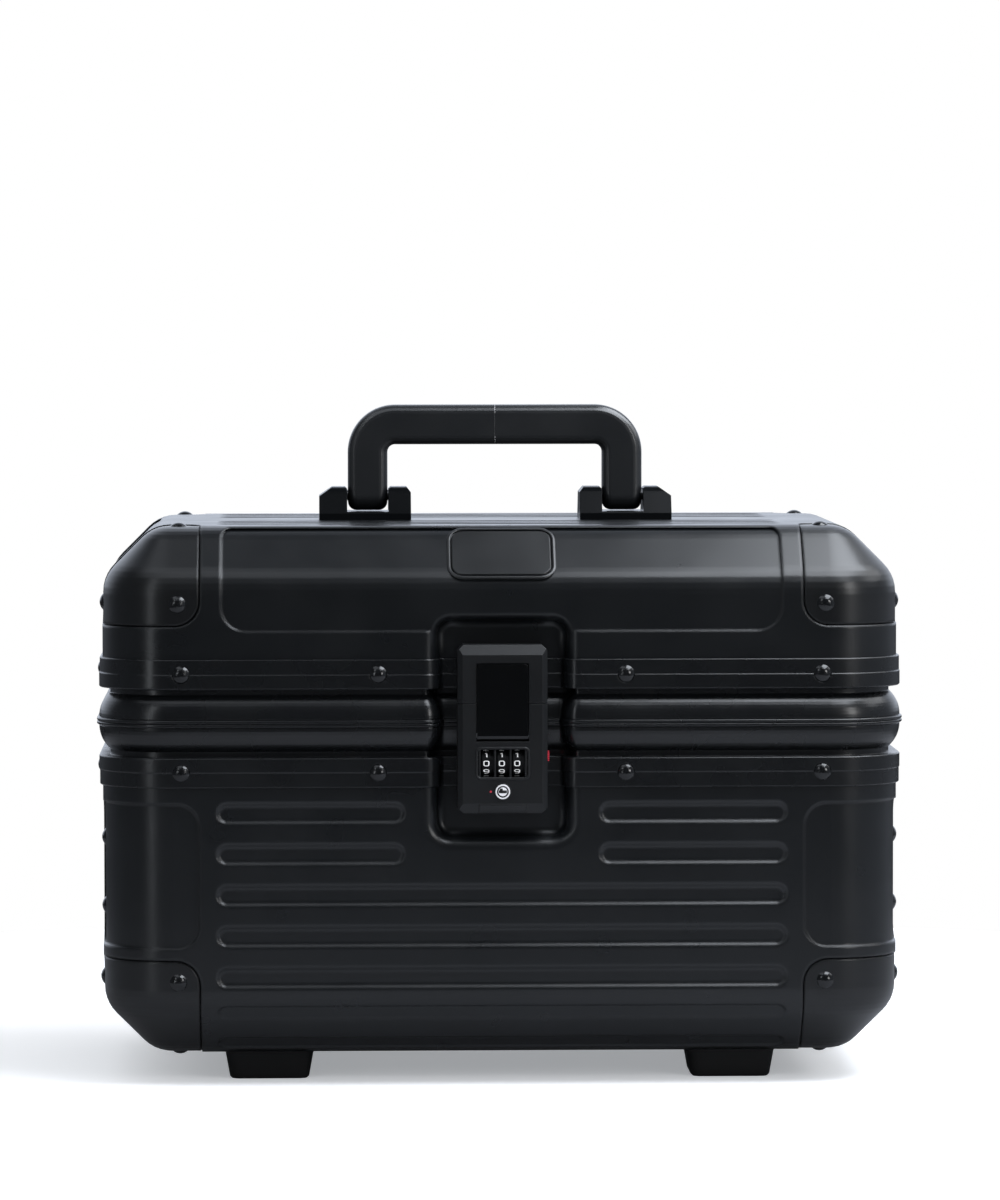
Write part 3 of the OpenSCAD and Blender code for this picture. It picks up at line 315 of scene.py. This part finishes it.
# strokes of each digit on a 2 by 3 grid, as points joined in turn
DIGITS = (
    ((0.4, 0), (1.6, 0), (2, 0.5), (2, 2.5), (1.6, 3), (0.4, 3), (0, 2.5), (0, 0.5), (0.4, 0)),
    ((0.5, 2.4), (1.2, 3), (1.2, 0)),
    ((0, 2.5), (0.5, 3), (1.5, 3), (2, 2.5), (2, 1.9), (0, 0), (2, 0)),
    ((0, 2.6), (0.5, 3), (1.5, 3), (2, 2.5), (1.5, 1.6), (0.8, 1.6), (1.5, 1.6), (2, 1.1), (2, 0.5),
     (1.5, 0), (0.5, 0), (0, 0.4)),
    ((1.5, 0), (1.5, 3), (0, 0.9), (2, 0.9)),
    ((1.9, 3), (0.2, 3), (0.1, 1.7), (1.4, 1.8), (2, 1.3), (2, 0.6), (1.5, 0), (0.4, 0), (0, 0.4)),
    ((1.7, 3), (0.7, 3), (0, 2.1), (0, 0.5), (0.5, 0), (1.5, 0), (2, 0.5), (2, 1.2), (1.5, 1.7),
     (0.1, 1.6)),
    ((0, 3), (2, 3), (0.8, 0)),
    ((1, 1.6), (1.7, 2), (1.8, 2.6), (1.3, 3), (0.7, 3), (0.2, 2.6), (0.3, 2), (1, 1.6), (1.9, 1.1),
     (2, 0.5), (1.5, 0), (0.5, 0), (0, 0.5), (0.1, 1.1), (1, 1.6)),
    ((0.3, 0), (1.3, 0), (2, 0.9), (2, 2.5), (1.5, 3), (0.5, 3), (0, 2.5), (0, 1.8), (0.5, 1.3),
     (1.9, 1.4)))
DIGIT_WIDE, DIGIT_HIGH = 1.10 * MM, 0.72 * MM  # one unit of that grid
DIGIT_PROUD = 0.04 * MM
DIGIT_THICK = 0.05 * MM
DIGIT_SHIFT = 0.45 * MM  # to the left of each wheel's middle
STROKE_HALF = 0.24  # half a stroke's width in units of the grid


def stroke(shape, points, half, place):
    """Flat ribbon with mitred corners along (u, v) points; place turns (u, v) into a 3-D point."""
    left, right = [], []
    for i, (u, v) in enumerate(points):
        before = points[max(i - 1, 0)]
        after = points[min(i + 1, len(points) - 1)]
        if i == 0 and points[0] == points[-1]:
            before = points[-2]
        if i == len(points) - 1 and points[0] == points[-1]:
            after = points[1]
        du, dv = after[0] - before[0], after[1] - before[1]
        span = math.hypot(du, dv) or 1
        nu, nv = -dv / span * half, du / span * half
        left.append(shape.verts.new(place(u + nu, v + nv)))
        right.append(shape.verts.new(place(u - nu, v - nv)))
    for i in range(len(points) - 1):
        shape.faces.new((left[i], left[i + 1], right[i + 1], right[i]))


def refine(points, longest):
    """Splits long steps of a line so that it can bend round a wheel."""
    fine = [points[0]]
    for a, b in zip(points, points[1:]):
        parts = max(1, math.ceil(math.dist(a, b) / longest))
        fine += [(a[0] + (b[0] - a[0]) * k / parts, a[1] + (b[1] - a[1]) * k / parts)
                 for k in range(1, parts + 1)]
    return fine


def wheel_digits(wheel, centre, radius):
    """Ten painted digits round a number wheel about an X axis, with the nought to the front."""
    shape = bmesh.new()
    outer = radius + DIGIT_PROUD
    for number, strokes in enumerate(DIGITS):
        middle = math.radians(36 * number)

        def place(u, v):
            angle = middle + (v - 1.5) * DIGIT_HIGH / radius
            return (centre.x + (u - 1) * DIGIT_WIDE, centre.y - outer * math.cos(angle),
                    centre.z + outer * math.sin(angle))

        stroke(shape, refine(strokes, 0.5), STROKE_HALF, place)
    piece = as_piece(wheel + "_digits", shape, wheel, "digit_white")
    piece.modifiers.new("thickness", "SOLIDIFY").thickness = DIGIT_THICK


# ---------------------------------------------------------------- number window
LOCK_LOW = Vector(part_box("lock_housing")[0])
FACE_Y = LOCK_LOW.y
DIAL_LOW, DIAL_HIGH = (Vector(c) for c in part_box("dial_middle"))
DIAL_AT = (DIAL_LOW + DIAL_HIGH) / 2
DIAL_R = (DIAL_HIGH.z - DIAL_LOW.z) / 2

for dial in WHEELS:
    low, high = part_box(dial)
    wheel_digits(dial, Vector(((low[0] + high[0]) / 2 - DIGIT_SHIFT, DIAL_AT.y, DIAL_AT.z)), DIAL_R)

rim = bmesh.new()
front_rim(rim, (DIAL_AT.x, DIAL_AT.z), (24.6 * MM, 15.0 * MM), 2.6 * MM, 1.3 * MM,
          FACE_Y + 0.6 * MM, FACE_Y - 0.28 * MM)
as_piece("window_rim", rim, "case_body", "lock_black")

bars = bmesh.new()
low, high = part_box("dial_left")
pitch = DIAL_AT.x - (low[0] + high[0]) / 2
for step in (-1.5, -0.5, 0.5, 1.5):
    front_slab(bars, (DIAL_AT.x + step * pitch, DIAL_AT.z), (0.95 * MM, 12.8 * MM), 0.30 * MM,
               FACE_Y + 3.2 * MM, FACE_Y + 0.2 * MM, 0.22 * MM)
as_piece("window_bars", bars, "case_body", "lock_black")

# ---------------------------------------------------------------- key
KEY_LOW, KEY_HIGH = (Vector(c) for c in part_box("key_cylinder"))
KEY_AT = (KEY_LOW + KEY_HIGH) / 2
KEY_R = (KEY_HIGH.x - KEY_LOW.x) / 2 / MM
KEY_LONG = (KEY_HIGH.y - KEY_LOW.y) / MM
KEYWAY_BACK, KEYWAY_FRONT = KEY_LOW.y + 1.2 * MM, KEY_LOW.y + 0.03 * MM

DOT_AT = Vector((KEY_AT.x - 5.4 * MM, FACE_Y - 0.01 * MM, KEY_AT.z))
DOT_R = 0.50 * MM
DOT_FLAT = 0.30  # the dot's depth as a share of its width
DOT_SIDES, DOT_BANDS = 24, 12

# built from rings, because Blender's own sphere orders its faces anew on every run
dot = bmesh.new()
rings = []
for band in range(1, DOT_BANDS):
    tilt = math.pi * band / DOT_BANDS
    ring = []
    for i in range(DOT_SIDES):
        turn = math.tau * i / DOT_SIDES
        ring.append(DOT_AT + DOT_R * Vector((math.sin(tilt) * math.cos(turn),
                                             math.sin(tilt) * math.sin(turn) * DOT_FLAT, math.cos(tilt))))
    rings.append(ring)
rows = skin(dot, rings)
for row, tip in ((rows[0], DOT_R), (rows[-1], -DOT_R)):
    pole = dot.verts.new(DOT_AT + UPWARD * tip)
    for i in range(DOT_SIDES):
        dot.faces.new((row[i], row[(i + 1) % DOT_SIDES], pole))
as_piece("key_mark", dot, "case_body", "plastic_red")


def turned(profile, sides=48):
    """Rings about the key's axis, from (radius, y) points in mm counted from the key's face."""
    rings = []
    for radius, y in profile:
        rings.append([(KEY_AT.x + radius * MM * math.cos(math.tau * i / sides), KEY_LOW.y + y * MM,
                       KEY_AT.z + radius * MM * math.sin(math.tau * i / sides)) for i in range(sides)])
    return rings


key = bmesh.new()
block(key, turned(((KEY_R, KEY_LONG), (KEY_R, 0.16), (KEY_R - 0.16, 0), (2.78, 0), (2.66, 0.12),
                   (2.66, 0.60))))
front_slab(key, (KEY_AT.x, KEY_AT.z), (4.0 * MM, 4.0 * MM), 2.0 * MM,
           KEY_LOW.y + 1.4 * MM, KEY_LOW.y + 0.06 * MM, 0.18 * MM)
key_piece = as_piece("key_face", key, "key_cylinder", "chrome")
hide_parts("key_cylinder")

# painted shade: a dark ring set in the groove round the key's plug stands in for the shade in it
painted_groove_shade = bmesh.new()
hoop(painted_groove_shade, turned(((1.90, 0.56), (1.90, 0.40), (2.70, 0.40), (2.70, 0.56))))
as_piece("key_groove_painted_shade", painted_groove_shade, "key_cylinder", "painted_shade_black")

# painted shade: two dark slabs laid just proud of the plug's face stand in for the shade in the keyway's
# slot
keyway_painted_shade = bmesh.new()
front_slab(keyway_painted_shade, (KEY_AT.x, KEY_AT.z), (3.7 * MM, 1.3 * MM), 0.30 * MM,
           KEYWAY_BACK, KEYWAY_FRONT, 0.02 * MM)
front_slab(keyway_painted_shade, (KEY_AT.x - 0.7 * MM, KEY_AT.z + 0.9 * MM), (1.4 * MM, 1.2 * MM), 0.25 * MM,
           KEYWAY_BACK, KEYWAY_FRONT, 0.02 * MM)
as_piece("keyway_painted_shade", keyway_painted_shade, "key_cylinder", "painted_shade_black")

collar = bmesh.new()
FACE_MM = (FACE_Y - KEY_LOW.y) / MM
hoop(collar, turned([(radius, FACE_MM + y) for radius, y in (
    (3.42, 0.3), (3.42, -0.24), (3.58, -0.36), (3.78, -0.36), (3.95, -0.24), (3.95, 0.3))]))
as_piece("key_collar", collar, "case_body", "lock_black")

# ---------------------------------------------------------------- tab on the housing's lowest bevel
BEVEL = largest_face("lock_housing", lambda normal: normal.z < -0.3 and normal.y < -0.3)
BEVEL_RISE = BEVEL.normal.normalized().cross(ACROSS)
TAB_UP = 2.3 * MM  # of the tab's middle over the housing's lowest point
TAB_AT = Vector((0, BEVEL.center.y, BEVEL.center.z))
TAB_AT += BEVEL_RISE * ((LOCK_LOW.z + TAB_UP - TAB_AT.z) / BEVEL_RISE.z)

# painted shade: a dark slab a little larger than the tab, under it, stands in for the shade in the gap
# round the tab
painted_tab_gap_shade = bmesh.new()
plane_slab(painted_tab_gap_shade, TAB_AT, ACROSS, BEVEL_RISE, (22.2 * MM, 4.8 * MM), 0.8 * MM,
           0.6 * MM, 0.04 * MM, 0.02 * MM)
as_piece("lock_tab_gap_painted_shade", painted_tab_gap_shade, "case_body", "painted_shade_black")
tab = bmesh.new()
plane_slab(tab, TAB_AT, ACROSS, BEVEL_RISE, (21.2 * MM, 4.0 * MM), 0.6 * MM,
           0.6 * MM, 0.35 * MM, 0.2 * MM)
as_piece("lock_tab", tab, "case_body", "lock_black")

# ---------------------------------------------------------------- nameplate rim
PLATE = largest_face("nameplate", lambda normal: normal.z > 0.3)
PLATE_OUT = PLATE.normal.normalized()
PLATE_RISE = PLATE_OUT.cross(ACROSS)
PLATE_LOW, PLATE_HIGH = (Vector(c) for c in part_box("nameplate"))
PLATE_WIDE = PLATE_HIGH.x - PLATE_LOW.x
PLATE_TALL = 27.0 * MM
PLATE_R = 5.5 * MM
PLATE_MID = (PLATE_LOW + PLATE_HIGH) / 2
PLATE_MID += PLATE_OUT * (PLATE_OUT.dot(PLATE.center) - PLATE_OUT.dot(PLATE_MID))
# how far out from the plate's edge, and how high over its face, in mm
PLATE_RIM = ((0.45, -1.0), (0.50, -0.25), (0.80, -0.06), (1.20, -0.08), (1.70, -0.30),
             (2.10, -0.52), (2.20, -0.80))

plate_rim = bmesh.new()
rings = []
for out, high in PLATE_RIM:
    outline = rounded(PLATE_WIDE + 2 * out * MM, PLATE_TALL + 2 * out * MM, PLATE_R + out * MM, 10)
    rings.append([PLATE_MID + ACROSS * u + PLATE_RISE * v + PLATE_OUT * high * MM for u, v in outline])
hoop(plate_rim, rings)
as_piece("nameplate_rim", plate_rim, "lid", "plate_black")

# ---------------------------------------------------------------- handle seam
GRIP_LOW, GRIP_HIGH = (Vector(c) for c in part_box("handle_right"))
DOWEL_LOW, DOWEL_HIGH = (Vector(c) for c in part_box("handle_dowel"))
GRIP_Y = (GRIP_LOW.y + GRIP_HIGH.y) / 2
GRIP_Z = (DOWEL_LOW.z + DOWEL_HIGH.z) / 2
GRIP_DEEP = GRIP_HIGH.y - GRIP_LOW.y
GRIP_TALL = 2 * (GRIP_HIGH.z - GRIP_Z)
GRIP_R = 4.0 * MM
# how far out from the grip's surface, and where along it, in mm
SEAM = ((-0.5, -0.16), (-0.03, -0.16), (0.0, 0.0), (-0.03, 0.16), (-0.5, 0.16))

seam = bmesh.new()
rings = []
for out, x in SEAM:
    outline = rounded(GRIP_DEEP + 2 * out * MM, GRIP_TALL + 2 * out * MM, GRIP_R + out * MM)
    rings.append([(x * MM, GRIP_Y + u, GRIP_Z + v) for u, v in outline])
hoop(seam, rings)
as_piece("handle_seam", seam, "handle", "seam_light")

# ---------------------------------------------------------------- padded linings
QUILT_CELL = 44 * MM
QUILT_CROWN = 1.8 * MM  # of a panel's middle over its seams
QUILT_SEAM = 1.2 * MM  # of the seams under the solid's face


def padded_lining(node, body, name):
    """The lining as sewn panels of thin foam: a copy of its solid, crowned between its seams."""
    piece = bpy.data.objects.new(name, NODES[node].data.copy())
    SCENE.collection.objects.link(piece)
    remesh = piece.modifiers.new("remesh", "REMESH")
    remesh.mode = "VOXEL"
    remesh.voxel_size = 0.0018
    fine = bpy.data.meshes.new_from_object(piece.evaluated_get(bpy.context.evaluated_depsgraph_get()))
    piece.modifiers.clear()
    piece.data = fine
    low, high = (Vector(c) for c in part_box(node))
    centre = (low + high) / 2
    normals = [normal.vector.copy() for normal in fine.vertex_normals]
    for vertex, normal in zip(fine.vertices, normals):
        at = vertex.co
        if normal.dot(centre - at) <= 0:  # the side towards the shell stays plain
            continue
        if abs(normal.z) > 0.7:
            u, v = at.x - centre.x, at.y - centre.y
        elif abs(normal.x) > abs(normal.y):
            u, v = at.y - centre.y, at.z - centre.z
        else:
            u, v = at.x - centre.x, at.z - centre.z
        a = abs(math.sin(math.pi * (u + v) / QUILT_CELL / math.sqrt(2)))
        b = abs(math.sin(math.pi * (u - v) / QUILT_CELL / math.sqrt(2)))
        crown = min(1.0, (a * b) ** 0.35 * 1.15)
        vertex.co = at + normal * (crown * QUILT_CROWN - QUILT_SEAM)
    fine.materials.clear()
    fine.materials.append(FINISHES["lining_cloth"])
    fine.shade_smooth()
    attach(piece, body)
    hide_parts(node)


padded_lining("body_lining", "case_body", "quilted_body_lining")
padded_lining("lid_lining", "lid", "quilted_lid_lining")

# ---------------------------------------------------------------- floor, world and lamps
FLOOR_R = 0.64
FLOOR_LIFT = 0.34  # light that the floor gives to the camera alone


def make_floor():
    """A pale round table top whose rim melts into the white behind it, darker in reflections."""
    mesh = bpy.data.meshes.new("floor")
    shape = bmesh.new()
    bmesh.ops.create_circle(shape, cap_ends=True, segments=96, radius=FLOOR_R)
    shape.to_mesh(mesh)
    shape.free()
    floor = bpy.data.objects.new("floor", mesh)
    SCENE.collection.objects.link(floor)
    material, tree, shader = new_material("floor")
    shader.inputs["Base Color"].default_value = (0.96, 0.96, 0.97, 1)
    shader.inputs["Roughness"].default_value = 0.7
    shader.inputs["Specular IOR Level"].default_value = 0.1
    rays = add(tree, "ShaderNodeLightPath")
    dim = add(tree, "ShaderNodeBsdfDiffuse", {"Color": (0.36, 0.37, 0.40, 1)})
    lift = add(tree, "ShaderNodeEmission", {"Color": (0.93, 0.96, 1.0, 1)})
    tree.links.new(scaled(tree, rays.outputs["Is Camera Ray"], FLOOR_LIFT), lift.inputs["Strength"])
    both = add(tree, "ShaderNodeAddShader")
    seen = choose(tree, rays.outputs["Is Glossy Ray"], shader.outputs["BSDF"], dim.outputs["BSDF"])
    tree.links.new(seen, both.inputs[0])
    tree.links.new(lift.outputs["Emission"], both.inputs[1])
    tree.links.new(both.outputs["Shader"], tree.nodes["Material Output"].inputs["Surface"])
    mesh.materials.append(material)


def make_world():
    """White to the camera, an even dome on matt surfaces, and a dim studio with a bright back wall
    in reflections."""
    world = bpy.data.worlds.new("studio")
    SCENE.world = world
    world.use_nodes = True
    tree = world.node_tree
    tree.nodes.clear()
    out = add(tree, "ShaderNodeOutputWorld")
    rays = add(tree, "ShaderNodeLightPath")
    white = add(tree, "ShaderNodeBackground", {"Color": (1, 1, 1, 1), "Strength": 1.0})
    dome = add(tree, "ShaderNodeBackground", {"Color": (0.98, 0.99, 1.0, 1), "Strength": 0.60})
    studio = add(tree, "ShaderNodeBackground", {"Color": (0.80, 0.87, 1.0, 1)})
    place = add(tree, "ShaderNodeTexCoord")
    split = add(tree, "ShaderNodeSeparateXYZ")
    tree.links.new(place.outputs["Generated"], split.inputs["Vector"])

    def ramp(axis, start, end, low, high):
        return ranged(tree, split.outputs[axis], start, end, low, high, interpolation_type="SMOOTHSTEP")

    back = combined(tree, ramp("Y", 0.30, 0.85, 0.0, 1.6), ramp("Z", -0.06, 0.08, 0.0, 1.0), "MULTIPLY")
    top = ramp("Z", 0.40, 0.95, 0.0, 0.16)
    sides = combined(tree, ramp("X", 0.45, 0.95, 0.05, 0.34), ramp("X", -0.6, -0.98, 0.0, 0.14))
    total = combined(tree, combined(tree, back, top), sides)
    tree.links.new(total, studio.inputs["Strength"])

    through = combined(tree, rays.outputs["Is Camera Ray"], rays.outputs["Is Transmission Ray"])
    seen = choose(tree, through, dome.outputs["Background"], white.outputs["Background"])
    everything = choose(tree, rays.outputs["Is Glossy Ray"], seen, studio.outputs["Background"])
    tree.links.new(everything, out.inputs["Surface"])


def soft_box(name, place, target, size, power, colour):
    """A rectangular lamp at place that faces target; power in watts."""
    lamp = bpy.data.lights.new(name, "AREA")
    lamp.shape = "RECTANGLE"
    lamp.size, lamp.size_y = size
    lamp.energy = power
    lamp.color = colour
    light = bpy.data.objects.new(name, lamp)
    light.location = place
    light.rotation_mode = "QUATERNION"
    light.rotation_quaternion = (Vector(target) - Vector(place)).to_track_quat("-Z", "Y")
    SCENE.collection.objects.link(light)


make_floor()
make_world()
soft_box("right_box", (1.30, -1.55, 0.75), (0, 0, 0.17), (0.30, 0.9), 8, (1, 1, 1))
soft_box("left_box", (-1.25, -1.60, 0.85), (0, 0, 0.17), (0.16, 2.1), 5, (0.90, 0.95, 1.0))
soft_box("top_box", (0.40, -0.24, 0.86), (0.25, -0.20, 0.0), (0.76, 0.50), 10.5, (0.88, 0.93, 1.0))
soft_box("left_top_box", (-0.35, -0.32, 0.95), (-0.2, -0.15, 0.0), (0.70, 0.42), 1, (0.88, 0.93, 1.0))
soft_box("side_box", (1.00, 0.05, 0.85), (0.1, 0, 0.2), (0.80, 0.45), 3, (0.95, 0.97, 1.0))
SCENE.view_settings.view_transform = "Standard"
